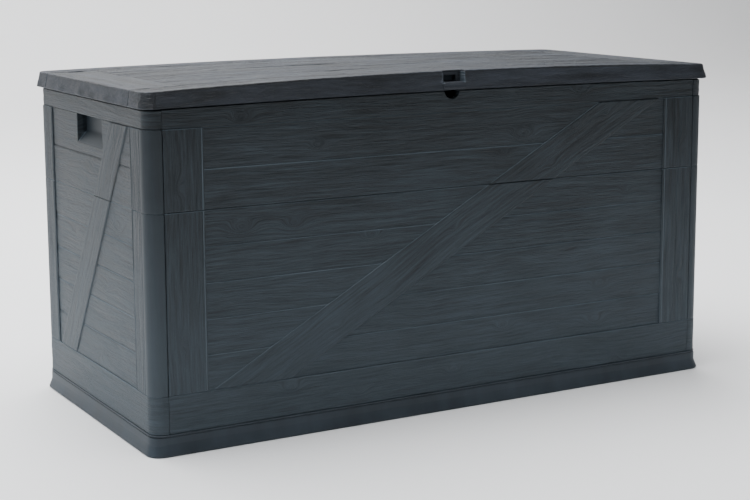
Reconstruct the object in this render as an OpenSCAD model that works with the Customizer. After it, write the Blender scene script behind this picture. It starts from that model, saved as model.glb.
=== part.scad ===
// Deck storage box with board-patterned walls and a crowned lid on three rear hinges.
// Origin: middle of the footprint, on the ground. X is the width, -Y is the front, Z is up.

/* [Overall] */
// Width over the lid rim
lid_w = 1200; // [1100:10:1300]
// Depth over the lid rim
lid_d = 560; // [520:10:600]
// Height to the crown of the lid
overall_h = 630; // [600:5:660]

/* [Walls] */
// How far the lid rim stands out past the walls
overhang = 8; // [7:0.5:10]
// Whole thickness of a wall, skin and ribs
wall_t = 20; // [18:1:24]
// Thickness of the skin behind the boards
skin_t = 4; // [3:0.5:5]
// How far the stiles, posts and braces stand proud of the boards
relief = 2; // [1:0.5:3]
// Outer radius of the four upright corners
corner_r = 25; // [20:1:30]
// Thickness of every rib and flange
rib_t = 3; // [2.5:0.5:4]
// Width of each upright stile
stile_w = 73; // [60:1:80]
// Width of the corner return that each end wall wraps on to the front
return_w = 30; // [28:1:34]
// Height of the bottom rail above the base
rail_h = 66; // [55:1:75]
// Height of one board in the lower panels
board_h = 62.4; // [58:0.2:66]
// Height of one board in the upper panels
upper_board_h = 69.6; // [66:0.2:72]
// Width of a brace board along a level line, on the long walls
long_brace_w = 150; // [130:1:160]
// Width of a brace board along a level line, on the end walls
end_brace_w = 86; // [75:1:95]
// Depth of the V grooves between boards
groove = 2; // [1.5:0.1:2.5]

/* [Base] */
// Height of the base skirt
base_h = 38; // [34:1:44]
// How far the foot of the base stands out past the walls
base_flare = 6; // [2:0.5:7]
// Thickness of the base deck
deck_t = 4; // [3:0.5:5]
// Height of the rim that locates the walls
locator_h = 12; // [8:1:16]

/* [Handles] */
// Length of each hand pocket
pocket_l = 128; // [110:1:140]
// Height of its mouth
pocket_h = 50; // [42:1:54]
// Depth of the pocket into the wall
pocket_d = 20; // [18:0.5:22]

/* [Lid] */
// Height of the rim's lower edge at the corners
rim_z = 590; // [586:1:592]
// Height of the lid's top edge at the corners
edge_z = 618; // [614:1:620]
// Extra rise of the top edge in the middle of the rear
rear_crown = 5; // [2:0.5:8]
// Extra rise of the rim's lower edge in the middle
rim_arch = 5; // [3:0.5:6]
// How far the top edge lies in from the rim
skirt_slope = 5; // [3:0.5:8]
// Thickness of the lid shell
lid_t = 3.5; // [3:0.1:4]
// Thickness of the lid liner
liner_t = 4; // [3:0.5:5]

/* [Hinges] */
// Distance from the middle hinge to each outer one
hinge_pitch = 400; // [300:10:450]
// Length of a whole hinge
hinge_l = 76; // [70:1:90]
// Outer radius of a hinge barrel
barrel_r = 6; // [5.5:0.1:6.5]
// Radius of a hinge pin
pin_r = 2.5; // [2:0.1:3]
// Thickness of the hinge leaves
leaf_t = 4; // [3:0.5:4.5]

/* [Lock] */
// Radius of the half-round padlock notch
notch_r = 16; // [14:0.5:18]
// Radius of the lock bar
lock_bar_r = 3; // [2.5:0.1:3.5]

/* [Hidden] */
$fn = 48;

wall_colour = "#3b444c";
lid_colour = "#6b6e76";
inner_colour = "#444b52";
steel = "#b4b8bc";

body_w = lid_w - 2 * overhang;
body_d = lid_d - 2 * overhang;
half_w = body_w / 2;
half_d = body_d / 2;
seam_x = half_w - return_w;
board_y = half_d - relief;
board_x = half_w - relief;
skin_in = relief + skin_t;
stile_in_x = seam_x - stile_w;
stile_in_y = half_d - stile_w;
gap = 0.2;

// Levels of the walls
rail_z = base_h + rail_h;
joint_z = rail_z + 5 * board_h;
band_z = joint_z + 2 * upper_board_h;
wall_top = rim_z + 6;
liner_z = wall_top + 1;
liner_top = liner_z + liner_t;
lower_grooves = [for (i = [1:4]) rail_z + i * board_h];
upper_grooves = [joint_z + upper_board_h, band_z];
// The grooves stop just short of the stiles
groove_stop = 1;

// Ribs behind the skins are under a tenth of the box's width apart
long_bays = 11;
end_bays = 5;
tray_bays_x = 11;
tray_bays_y = 5;

// Hinge axis, behind the rear wall and level with the rim
axis_y = half_d + 2;
axis_z = rim_z;
hinge_xs = [-hinge_pitch, 0, hinge_pitch];
lid_knuckle_l = hinge_l / 2 - 2;
side_knuckle_l = (hinge_l - lid_knuckle_l) / 2 - 0.4;
bracket_y = axis_y - barrel_r - leaf_t;
bracket_low = rim_z - 62;
flange_z = liner_top;
flange_y = half_d - 48;
hinge_block_w = hinge_l + 12;
corner_screw_in = 13.5;
base_screw_in = 13;
screw_r = 2.4;
screw_play = 0.1;
head_r = 4.5;
head_h = 2.2;

// Lock, in the middle of the front
lock_y = -half_d + 10;
lock_z = rim_z + 8;
lock_block_w = 62;
lock_block_top = rim_z + 14;
notch_z = rim_z + rim_arch;

// ---------- shared shapes ----------

// Upright block with rounded corners, centred on the Z axis
module rounded_block(w, d, r, z0, z1) {
    translate([0, 0, z0]) union() {
        translate([-w / 2 + r, -d / 2, 0]) cube([w - 2 * r, d, z1 - z0]);
        translate([-w / 2, -d / 2 + r, 0]) cube([w, d - 2 * r, z1 - z0]);
        for (sx = [-1, 1], sy = [-1, 1])
            translate([sx * (w / 2 - r), sy * (d / 2 - r), 0]) cylinder(r = r, h = z1 - z0);
    }
}

// Band of wall between two insets from the outer face
module wall_band(from, to, z0, z1) {
    difference() {
        rounded_block(body_w - 2 * from, body_d - 2 * from, corner_r - from, z0, z1);
        rounded_block(body_w - 2 * to, body_d - 2 * to, max(corner_r - to, 2), z0 - 1, z1 + 1);
    }
}

// Skin and the two level flanges that every wall moulding has; the top band lies back, flush with the boards
module wall_shell(z0, z1) {
    wall_band(0, skin_in, z0, min(z1, band_z));
    if (z1 > band_z) wall_band(relief, skin_in, band_z - 1, z1);
    wall_band(skin_in - 1, wall_t, z0, z0 + rib_t);
    wall_band(skin_in - 1, wall_t, z1 - rib_t, z1);
}

// V groove along X on the front, at height z
module groove_x(length, y, z) {
    side = groove * sqrt(2);
    translate([0, y, z]) rotate([45, 0, 0]) cube([length, side, side], center = true);
}

// V groove along Y on the left end, at height z
module groove_y(length, x, z) {
    side = groove * sqrt(2);
    translate([x, 0, z]) rotate([0, 45, 0]) cube([side, length, side], center = true);
}

// Brace outline: x along the wall, y up; it leans to the right as it rises
function brace_outline(reach, w) = [[-reach, rail_z], [w - reach, rail_z], [reach, band_z], [reach - w, band_z]];

// Pan-head screw along +Z, its head's seat at the origin
module screw(length) {
    cylinder(r = screw_r, h = length);
    translate([0, 0, -head_h]) cylinder(r = head_r, h = head_h);
}

// ---------- long walls ----------

// One front moulding between two levels; the rear uses it turned half round
module long_wall(z0, z1, grooves) {
    difference() {
        union() {
            difference() {
                intersection() {
                    wall_shell(z0, z1);
                    translate([-seam_x, -half_d - 1, z0]) cube([2 * seam_x, wall_t + 2, z1 - z0]);
                }
                translate([-stile_in_x, -half_d - 1, max(z0 - 1, rail_z)])
                    cube([2 * stile_in_x, relief + 1, z1 - z0 + 2]);
                for (z = grooves) groove_x(2 * (stile_in_x - groove_stop), -board_y, z);
            }
            // Upright ribs, the outer two closing the ends
            for (i = [0:long_bays])
                translate([-seam_x + i * (2 * seam_x - rib_t) / long_bays, -half_d + skin_in - 1, z0])
                    cube([rib_t, wall_t - skin_in + 1, z1 - z0]);
            intersection() {
                translate([0, -board_y + 1, 0]) rotate([90, 0, 0])
                    linear_extrude(relief + 1) polygon(brace_outline(stile_in_x - 8, long_brace_w));
                translate([-half_w, -half_d - 1, z0]) cube([body_w, wall_t, z1 - z0]);
            }
        }
        // Line above the bottom rail, and the chamfered joint between the lower and the upper moulding
        groove_x(2 * seam_x + 1, -half_d, rail_z);
        groove_x(2 * seam_x + 1, -half_d, joint_z);
        groove_x(2 * seam_x + 1, -board_y, joint_z);
        for (sx = [-1, 1], z = corner_screw_zs)
            translate([sx * seam_x, -half_d + corner_screw_in, z]) rotate([0, 90, 0])
                cylinder(r = screw_r + screw_play, h = 4 * rib_t, center = true);
        if (z0 < joint_z)
            for (x = base_screw_xs)
                translate([x, -half_d + base_screw_in, z0 - 1]) cylinder(r = screw_r + screw_play, h = rib_t + 2);
    }
}

corner_screw_zs = [base_h + 50, joint_z - 60, joint_z + 55, rim_z - 40];
base_screw_xs = [for (i = [-4, -2, 0, 2, 4]) i * body_w / tray_bays_x];
base_screw_ys = [for (i = [-1, 1]) i * body_d / tray_bays_y];

module front_panel_lower() {
    color(wall_colour) long_wall(base_h, joint_z, lower_grooves);
}

module front_panel_upper() {
    color(wall_colour) difference() {
        union() {
            long_wall(joint_z, wall_top, upper_grooves);
            // Solid block that carries the lock bar
            translate([-lock_block_w / 2, -half_d + 5, rim_z - 24])
                cube([lock_block_w, wall_t - 5, lock_block_top - rim_z + 24]);
        }
        // Half-round notch, open upwards, for the shackle of a padlock
        translate([0, -half_d - 1, notch_z]) rotate([-90, 0, 0]) cylinder(r = notch_r, h = wall_t + 2);
        translate([-notch_r, -half_d - 1, notch_z]) cube([2 * notch_r, wall_t + 2, 20]);
        translate([-lock_block_w / 2 - 1, lock_y, lock_z]) rotate([0, 90, 0])
            cylinder(r = lock_bar_r + screw_play / 2, h = lock_block_w + 2);
    }
}

module rear_panel_lower() {
    color(wall_colour) rotate([0, 0, 180]) long_wall(base_h, joint_z, lower_grooves);
}

module rear_panel_upper() {
    color(wall_colour) difference() {
        union() {
            rotate([0, 0, 180]) long_wall(joint_z, wall_top, upper_grooves);
            for (x = hinge_xs)
                translate([x - hinge_block_w / 2, half_d - wall_t, bracket_low - 10])
                    cube([hinge_block_w, wall_t - relief, wall_top - bracket_low + 10]);
        }
        for (x = hinge_xs) {
            // Recess that the bracket is let into
            translate([x - hinge_l / 2 - gap, bracket_y, bracket_low - gap])
                cube([hinge_l + 2 * gap, wall_t, wall_top - bracket_low + 1]);
            for (p = bracket_screw_spots)
                translate([x + p[0], bracket_y + 1, p[1]]) rotate([90, 0, 0])
                    cylinder(r = screw_r + screw_play, h = 12.5);
        }
    }
}

// ---------- end walls, with the rounded corners ----------

// Left end moulding between two levels; the right end uses it turned half round
module end_wall(z0, z1, grooves) {
    difference() {
        union() {
            difference() {
                intersection() {
                    wall_shell(z0, z1);
                    translate([-half_w - 1, -half_d - 1, z0]) cube([return_w + 1, body_d + 2, z1 - z0]);
                }
                translate([-half_w - 1, -stile_in_y, max(z0 - 1, rail_z)])
                    cube([relief + 1, 2 * stile_in_y, z1 - z0 + 2]);
                for (z = grooves) groove_y(2 * (stile_in_y - groove_stop), -board_x, z);
            }
            for (i = [1:end_bays - 1])
                translate([-half_w + skin_in - 1, -half_d + i * body_d / end_bays - rib_t / 2, z0])
                    cube([wall_t - skin_in + 1, rib_t, z1 - z0]);
            // Ribs that the long walls are screwed to
            for (sy = [-1, 1])
                translate([-seam_x - rib_t, sy * (half_d - (skin_in - 1 + wall_t) / 2), (z0 + z1) / 2])
                    cube([2 * rib_t, wall_t - skin_in + 1, z1 - z0], center = true);
            intersection() {
                translate([-board_x + 1, 0, 0]) rotate([90, 0, -90])
                    linear_extrude(relief + 1) polygon(brace_outline(stile_in_y - 9, end_brace_w));
                translate([-half_w - 1, -half_d, z0]) cube([wall_t, body_d, z1 - z0]);
            }
        }
        groove_y(2 * (half_d - corner_r), -half_w, rail_z);
        groove_y(2 * (half_d - corner_r), -half_w, joint_z);
        groove_y(2 * stile_in_y, -board_x, joint_z);
        for (sy = [-1, 1], z = corner_screw_zs)
            translate([-seam_x, sy * (half_d - corner_screw_in), z]) rotate([0, 90, 0])
                cylinder(r = screw_r + screw_play, h = 6 * rib_t, center = true);
        if (z0 < joint_z)
            for (y = base_screw_ys)
                translate([-half_w + base_screw_in, y, z0 - 1]) cylinder(r = screw_r + screw_play, h = rib_t + 2);
    }
}

// Section of the hand pocket: x is the depth from the wall's face, y the height; grow thickens it
function pocket_outline(grow) = [[-1, band_z - pocket_h - 1 - 1.4 * grow],
    [pocket_d + grow, band_z - pocket_h + pocket_d - 0.4 * grow],
    [pocket_d + grow, band_z + 13 + grow], [relief + 6 - grow, band_z + 13 + grow],
    [relief + 6 - grow, band_z + grow], [-1, band_z + grow]];

// Prism of that section on the left end
module pocket_prism(grow) {
    length = pocket_l + 2 * grow;
    translate([-half_w, length / 2, 0]) rotate([90, 0, 0])
        linear_extrude(length) polygon(pocket_outline(grow));
}

module end_wall_upper() {
    difference() {
        union() {
            end_wall(joint_z, wall_top, upper_grooves);
            intersection() {
                pocket_prism(rib_t);
                translate([-board_x + 1, -half_d, joint_z]) cube([wall_t + 10, body_d, wall_top - joint_z]);
            }
        }
        pocket_prism(0);
    }
}

module left_end_lower() {
    color(wall_colour) end_wall(base_h, joint_z, lower_grooves);
}

module left_end_upper() {
    color(wall_colour) end_wall_upper();
}

module right_end_lower() {
    color(wall_colour) rotate([0, 0, 180]) end_wall(base_h, joint_z, lower_grooves);
}

module right_end_upper() {
    color(wall_colour) rotate([0, 0, 180]) end_wall_upper();
}

// ---------- base and floor ----------

module base_tray() {
    foot_w = body_w + 2 * base_flare;
    foot_d = body_d + 2 * base_flare;
    top_w = body_w - 4;
    top_d = body_d - 4;
    wall = 4;
    color(wall_colour) difference() {
        union() {
            difference() {
                hull() {
                    rounded_block(foot_w - 3, foot_d - 3, corner_r + 1, 0, 1);
                    rounded_block(foot_w, foot_d, corner_r + 2, 2, 3);
                    rounded_block(top_w, top_d, corner_r, base_h - 1, base_h);
                }
                rounded_block(top_w - 2 * wall, top_d - 2 * wall, corner_r - wall, -1, base_h - deck_t);
            }
            for (i = [1:tray_bays_x - 1])
                translate([-body_w / 2 + i * body_w / tray_bays_x - rib_t / 2, -top_d / 2 + 1, 0])
                    cube([rib_t, top_d - 2, base_h - 1]);
            for (i = [1:tray_bays_y - 1])
                translate([-top_w / 2 + 1, -body_d / 2 + i * body_d / tray_bays_y - rib_t / 2, 0])
                    cube([top_w - 2, rib_t, base_h - 1]);
            // Rim that the feet of the walls stand round
            difference() {
                rounded_block(body_w - 2 * wall_t - 2 * gap, body_d - 2 * wall_t - 2 * gap,
                    corner_r - wall_t - gap, base_h - 1, base_h + locator_h);
                rounded_block(body_w - 2 * wall_t - 2 * rib_t, body_d - 2 * wall_t - 2 * rib_t, 2,
                    base_h, base_h + locator_h + 1);
            }
        }
        for (sy = [-1, 1], x = base_screw_xs)
            translate([x, sy * (half_d - base_screw_in), base_h - deck_t - 1])
                cylinder(r = screw_r + screw_play, h = deck_t + 2);
        for (sx = [-1, 1], y = base_screw_ys)
            translate([sx * (half_w - base_screw_in), y, base_h - deck_t - 1])
                cylinder(r = screw_r + screw_play, h = deck_t + 2);
    }
}

module floor_panel() {
    inset = 2 * wall_t + 2 * rib_t + 2 * gap;
    grip_h = 1;
    rows = 8;
    color(inner_colour) union() {
        rounded_block(body_w - inset, body_d - inset, 2, base_h, base_h + 5);
        for (i = [1:rows])
            translate([-body_w / 2 + 60, -half_d + 24 + i * (body_d - 48) / (rows + 1) - 4, base_h + 4])
                cube([body_w - 120, 8, 1 + grip_h]);
    }
}

module base_screws() {
    color(steel) {
        for (sy = [-1, 1], x = base_screw_xs)
            translate([x, sy * (half_d - base_screw_in), base_h - deck_t]) screw(14);
        for (sx = [-1, 1], y = base_screw_ys)
            translate([sx * (half_w - base_screw_in), y, base_h - deck_t]) screw(14);
    }
}

module corner_screws() {
    color(steel) for (sx = [-1, 1], sy = [-1, 1], z = corner_screw_zs)
        translate([sx * (seam_x - rib_t), sy * (half_d - corner_screw_in), z]) rotate([0, 90 * sx, 0]) screw(11);
}

// ---------- lock ----------

module lock_bar() {
    color(steel) translate([-lock_block_w / 2, lock_y, lock_z]) rotate([0, 90, 0])
        cylinder(r = lock_bar_r, h = lock_block_w);
}

// ---------- hinges ----------

bracket_screw_spots = [[-24, bracket_low + 14], [24, bracket_low + 14], [0, bracket_low + 34]];
leaf_screw_spots = [[-26, half_d - 36], [26, half_d - 36]];

// Body half: plate let into the rear wall, with a knuckle at each end
module hinge_bracket(x) {
    color(wall_colour) translate([x, 0, 0]) difference() {
        union() {
            translate([-hinge_l / 2, bracket_y, bracket_low])
                cube([hinge_l, leaf_t, axis_z - 2 - bracket_low]);
            for (sx = [-1, 1])
                translate([sx * (hinge_l - side_knuckle_l) / 2, axis_y, axis_z]) rotate([0, 90, 0])
                    cylinder(r = barrel_r, h = side_knuckle_l, center = true);
            for (sx = [-1, 1])
                translate([sx * (hinge_l - side_knuckle_l) / 2 - side_knuckle_l / 2, bracket_y, axis_z - 9])
                    cube([side_knuckle_l, axis_y - bracket_y, 9 - pin_r - 0.8]);
        }
        translate([0, axis_y, axis_z]) rotate([0, 90, 0])
            cylinder(r = pin_r + 0.05, h = hinge_l + 2, center = true);
        for (p = bracket_screw_spots)
            translate([p[0], bracket_y - 1, p[1]]) rotate([-90, 0, 0])
                cylinder(r = screw_r + screw_play, h = leaf_t + 2);
    }
}

module hinge_pin(x) {
    color(steel) translate([x, axis_y, axis_z]) rotate([0, 90, 0])
        cylinder(r = pin_r, h = hinge_l, center = true);
}

module bracket_screws() {
    color(steel) for (x = hinge_xs, p = bracket_screw_spots)
        translate([x + p[0], bracket_y + leaf_t, p[1]]) rotate([90, 0, 0]) screw(15);
}

// Lid half: middle knuckle, upright web and the flange under the lid
module lid_leaf(x) {
    color(wall_colour) translate([x, 0, 0]) difference() {
        union() {
            translate([0, axis_y, axis_z]) rotate([0, 90, 0])
                cylinder(r = barrel_r, h = lid_knuckle_l, center = true);
            translate([-lid_knuckle_l / 2, axis_y - 3, axis_z + pin_r + 0.8])
                cube([lid_knuckle_l, 6, flange_z - axis_z - pin_r]);
            translate([-hinge_l / 2, flange_y, flange_z])
                cube([hinge_l, axis_y + 3 - flange_y, leaf_t]);
        }
        translate([0, axis_y, axis_z]) rotate([0, 90, 0])
            cylinder(r = pin_r + 0.05, h = hinge_l, center = true);
        for (p = leaf_screw_spots)
            translate([p[0], p[1], flange_z - 1]) cylinder(r = screw_r + screw_play, h = leaf_t + 2);
    }
}

module leaf_screws() {
    color(steel) for (x = hinge_xs, p = leaf_screw_spots)
        translate([x + p[0], p[1], flange_z]) screw(10);
}

// ---------- lid ----------

corner_steps = 6;
long_steps = 20;
end_steps = 8;
front_crown = overall_h - edge_z;
edge_round = 1.5;
top_d = lid_d / 2 - skirt_slope - edge_round;

// Rise of the top face above its corners
function crown(x, y) = (front_crown + (rear_crown - front_crown) * (y + top_d) / (2 * top_d))
    * max(0, 1 - pow(x / half_w, 2));
// Rise of the rim's lower edge
function arch(x) = rim_arch * max(0, 1 - pow(x / half_w, 2));

// Points round a rounded rectangle, anticlockwise from the right
function ring(hw, hd, r) = [for (c = [0:3])
    let (cx = (c == 0 || c == 3 ? 1 : -1) * (hw - r), cy = (c < 2 ? 1 : -1) * (hd - r),
         steps = c % 2 == 0 ? long_steps : end_steps,
         run = c % 2 == 0 ? 2 * (hw - r) : 2 * (hd - r),
         a = 90 * (c + 1), px = cx + r * cos(a), py = cy + r * sin(a))
    each concat(
        [for (k = [0:corner_steps]) let (t = 90 * (c + k / corner_steps)) [cx + r * cos(t), cy + r * sin(t)]],
        [for (k = [1:steps - 1]) [px + run * k / steps * cos(a + 90), py + run * k / steps * sin(a + 90)]])];

// Rings of the lid's surface at an inset t from the outer face
function rim_ring(t) = [for (p = ring(lid_w / 2 - t, lid_d / 2 - t, corner_r - t)) [p[0], p[1], rim_z + arch(p[0])]];
function top_ring(t, in, drop, s) =
    [for (p = ring((lid_w / 2 - skirt_slope - in) * s, (lid_d / 2 - skirt_slope - in) * s, (corner_r - 5) * s))
        [p[0], p[1], edge_z - drop - t + crown(p[0], p[1])]];

top_scales = [0.85, 0.65, 0.45, 0.25, 0.1];
outer_rings = concat([rim_ring(0), top_ring(0, -1, 3, 1), top_ring(0, edge_round, 0, 1)],
    [for (s = top_scales) top_ring(0, edge_round, 0, s)]);
inner_rings = concat([rim_ring(lid_t), top_ring(lid_t, lid_t - 0.5, 1, 1)],
    [for (s = top_scales) top_ring(lid_t, lid_t, 0, s)]);
// Solid outline a little inside the outer face
core_rings = concat([rim_ring(1.5), top_ring(1.5, 1, 1, 1)], [for (s = top_scales) top_ring(1.5, 2, 0, s)]);
lid_rings = concat([for (i = [len(inner_rings) - 1:-1:0]) inner_rings[i]], outer_rings);

// Closed surface through a list of rings, fanned shut at its first and last ring
module loft(rings) {
    n = len(rings[0]);
    m = len(rings);
    last = (m - 1) * n;
    points = concat([for (r = rings) each r], [mean(rings[0]), mean(rings[m - 1])]);
    faces = concat(
        [for (i = [0:m - 2], j = [0:n - 1]) let (a = i * n + j, b = i * n + (j + 1) % n) [a, b, b + n]],
        [for (i = [0:m - 2], j = [0:n - 1]) let (a = i * n + j, b = i * n + (j + 1) % n) [a, b + n, a + n]],
        [for (j = [0:n - 1]) [m * n, (j + 1) % n, j]],
        [for (j = [0:n - 1]) [m * n + 1, last + j, last + (j + 1) % n]]);
    polyhedron(points, [for (f = faces) [f[0], f[2], f[1]]]);
}
function mean(points) = sum(points) / len(points);
function sum(v, i = 0) = i == len(v) - 1 ? v[i] : v[i] + sum(v, i + 1);

module lid_shell() {
    boss_r = 7;
    color(lid_colour) difference() {
        union() {
            loft(lid_rings);
            for (p = liner_screw_spots)
                translate([p[0], p[1], liner_top])
                    cylinder(r = boss_r, h = edge_z + crown(p[0], p[1]) - lid_t / 2 - liner_top);
            // Walls of the lock recess, inside the shell's own outline
            intersection() {
                loft(core_rings);
                translate([-lock_recess_w / 2 - rib_t, -lid_d / 2, lock_lip_z - rib_t])
                    cube([lock_recess_w + 2 * rib_t, lid_d / 2 + lock_recess_y + rib_t, overall_h]);
            }
            // Pads that the hinge leaves are screwed to
            for (x = hinge_xs)
                translate([x - hinge_l / 2, flange_y, flange_z + leaf_t])
                    cube([hinge_l, lid_d / 2 - skirt_slope - flange_y, edge_z - flange_z - leaf_t]);
        }
        // Openings in the rear skirt for the hinge barrels and leaves
        for (x = hinge_xs)
            translate([x - hinge_l / 2 - 3, half_d - 9, rim_z - 1])
                cube([hinge_l + 6, 20, flange_z + leaf_t + 1 - rim_z]);
        // Lock recess, and the slot behind its ledge that the shackle goes through
        translate([-lock_recess_w / 2, -lid_d / 2 - 1, lock_lip_z])
            cube([lock_recess_w, lid_d / 2 + 1 + lock_recess_y, overall_h - lock_lip_z + 1]);
        translate([-lock_slot_w / 2, lock_y, lock_lip_z - 2 * rib_t])
            cube([lock_slot_w, wall_t, lock_slot_h + 2 * rib_t]);
        for (p = liner_screw_spots)
            translate([p[0], p[1], liner_top - 1]) cylinder(r = screw_r + screw_play, h = 10);
        for (x = hinge_xs, p = leaf_screw_spots)
            translate([x + p[0], p[1], flange_z]) cylinder(r = screw_r + screw_play, h = 12);
    }
}

lock_recess_w = 46;
lock_recess_y = -half_d + 10;
lock_slot_w = 25;
lock_slot_h = 12;
lock_lip_z = rim_z + 19;
liner_screw_spots = [for (x = [-520, -260, 0, 260, 520], y = [-200, 0, 190]) [x, y]];

module lid_liner() {
    color(inner_colour) difference() {
        rounded_block(body_w - 8, body_d - 8, corner_r - 4, liner_z, liner_top);
        for (x = hinge_xs)
            translate([x - hinge_l / 2 - 3, flange_y - 3, liner_z - 1]) cube([hinge_l + 6, 100, liner_t + 2]);
        // Room for the lock block
        translate([-lock_block_w / 2 - 3, -half_d - 1, liner_z - 1]) cube([lock_block_w + 6, 26, liner_t + 2]);
        for (p = liner_screw_spots)
            translate([p[0], p[1], liner_z - 1]) cylinder(r = screw_r + screw_play, h = liner_t + 2);
    }
}

module liner_screws() {
    color(steel) for (p = liner_screw_spots)
        translate([p[0], p[1], liner_z]) screw(12);
}

base_tray();
floor_panel();
front_panel_lower();
front_panel_upper();
rear_panel_lower();
rear_panel_upper();
left_end_lower();
left_end_upper();
right_end_lower();
right_end_upper();
base_screws();
corner_screws();
lock_bar();
hinge_bracket(hinge_xs[0]);  // hinge_bracket_left
hinge_bracket(hinge_xs[1]);  // hinge_bracket_centre
hinge_bracket(hinge_xs[2]);  // hinge_bracket_right
hinge_pin(hinge_xs[0]);  // hinge_pin_left
hinge_pin(hinge_xs[1]);  // hinge_pin_centre
hinge_pin(hinge_xs[2]);  // hinge_pin_right
bracket_screws();
lid_shell();
lid_liner();
liner_screws();
lid_leaf(hinge_xs[0]);  // lid_leaf_left
lid_leaf(hinge_xs[1]);  // lid_leaf_centre
lid_leaf(hinge_xs[2]);  // lid_leaf_right
leaf_screws();
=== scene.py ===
import math

import bpy
import numpy as np
from mathutils import Matrix, Vector


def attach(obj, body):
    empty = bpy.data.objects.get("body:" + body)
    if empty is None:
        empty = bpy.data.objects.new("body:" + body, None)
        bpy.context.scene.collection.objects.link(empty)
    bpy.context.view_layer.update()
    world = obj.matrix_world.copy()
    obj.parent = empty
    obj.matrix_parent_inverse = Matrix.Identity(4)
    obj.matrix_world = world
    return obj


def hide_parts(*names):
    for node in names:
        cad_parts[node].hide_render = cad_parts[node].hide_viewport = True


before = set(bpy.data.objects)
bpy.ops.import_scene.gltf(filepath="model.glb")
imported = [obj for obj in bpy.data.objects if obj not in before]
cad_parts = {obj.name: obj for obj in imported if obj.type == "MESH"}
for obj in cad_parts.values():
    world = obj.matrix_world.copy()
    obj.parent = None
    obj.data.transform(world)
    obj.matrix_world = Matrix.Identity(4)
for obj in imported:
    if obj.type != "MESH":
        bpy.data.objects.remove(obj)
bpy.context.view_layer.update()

# ---------------------------------------------------------------- room and camera
# The box stands on a pale plain floor that turns up into a plain wall behind it.
# The camera stands off to the left of the front, a little above the lid, and looks
# down on it by about nine degrees, with a small vertical shift.

FOCAL, SENSOR, SHIFT_UP = 77.885, 36, -0.06
CAMERA_AT = Vector((-1.5654, -2.7426, 0.8532))
YAW, PITCH, ROLL = math.radians(29.597), math.radians(9.108), math.radians(0.266)

camera = bpy.data.objects.new("camera", bpy.data.cameras.new("camera"))
bpy.context.scene.collection.objects.link(camera)
camera.data.sensor_width = SENSOR
camera.data.lens = FOCAL
camera.data.shift_y = SHIFT_UP
camera.data.clip_start, camera.data.clip_end = 0.05, 60
camera.matrix_world = (
    Matrix.Translation(CAMERA_AT)
    @ Matrix.Rotation(-YAW, 4, "Z")
    @ Matrix.Rotation(math.pi / 2 - PITCH, 4, "X")
    @ Matrix.Rotation(-ROLL, 4, "Z")
)
bpy.context.scene.camera = camera


class Value:
    """One shader output. Arithmetic on it adds the matching math node."""

    def __init__(self, net, socket):
        self.net, self.socket = net, socket

    def math(self, operation, *others, clamp=False):
        node = self.net.tree.nodes.new("ShaderNodeMath")
        node.operation, node.use_clamp = operation, clamp
        for place, value in zip(node.inputs, (self, *others)):
            self.net.plug(place, value)
        return Value(self.net, node.outputs[0])

    def __add__(self, other):
        return self.math("ADD", other)

    def __sub__(self, other):
        return self.math("SUBTRACT", other)

    def __mul__(self, other):
        return self.math("MULTIPLY", other)

    __radd__, __rmul__ = __add__, __mul__

    def between(self, start, end):
        """0 at start and 1 at end, smooth between them."""
        node = self.net.node("ShaderNodeMapRange", dict(interpolation_type="SMOOTHSTEP"),
                             {"Value": self, "From Min": start, "From Max": end})
        return node("Result")


class Net:
    """A material being wired. The shader's own constants are set on its sockets."""

    def __init__(self, name, **constants):
        self.material = bpy.data.materials.new(name)
        self.material.use_nodes = True
        self.tree = self.material.node_tree
        self.shader = self.tree.nodes["Principled BSDF"]
        for socket, value in constants.items():
            self.shader.inputs[socket.replace("_", " ")].default_value = value

    def plug(self, socket, value):
        if isinstance(value, Value):
            self.tree.links.new(value.socket, socket)
        else:
            socket.default_value = value

    def node(self, kind, settings, inputs):
        """Adds one node. What it returns gives an output by name."""
        node = self.tree.nodes.new(kind)
        for key, value in settings.items():
            setattr(node, key, value)
        for key, value in inputs.items():
            self.plug(node.inputs[key], value)
        return lambda name: Value(self, node.outputs[name])

    def point(self, x, y, z):
        return self.node("ShaderNodeCombineXYZ", {}, {"X": x, "Y": y, "Z": z})("Vector")

    def noise(self, vector, scale, detail=3.0, roughness=0.5):
        """Noise from 0 to 1."""
        return self.node("ShaderNodeTexNoise", {}, {
            "Vector": vector, "Scale": scale, "Detail": detail, "Roughness": roughness})("Fac")

    def mix(self, amount, first, second):
        """A colour between two others."""
        node = self.tree.nodes.new("ShaderNodeMix")
        node.data_type = "RGBA"
        for place, value in zip((0, 6, 7), (amount, first, second)):
            self.plug(node.inputs[place], value)
        return Value(self, node.outputs[2])

    def finish(self, colour, roughness, height, distance, strength):
        """Feeds the shader. Height is from 0 to 1, and distance its full depth in metres."""
        bump = self.node("ShaderNodeBump", {}, {
            "Height": height, "Distance": distance, "Strength": strength})("Normal")
        self.plug(self.shader.inputs["Base Color"], colour)
        self.plug(self.shader.inputs["Roughness"], roughness)
        self.plug(self.shader.inputs["Normal"], bump)
        return self.material


def paint(value):
    """A hex colour as the shader takes it, with its sRGB curve undone."""
    parts = [int(value[i:i + 2], 16) / 255 for i in (1, 3, 5)]
    return (*[p / 12.92 if p <= 0.04045 else ((p + 0.055) / 1.055) ** 2.4 for p in parts], 1.0)


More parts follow.
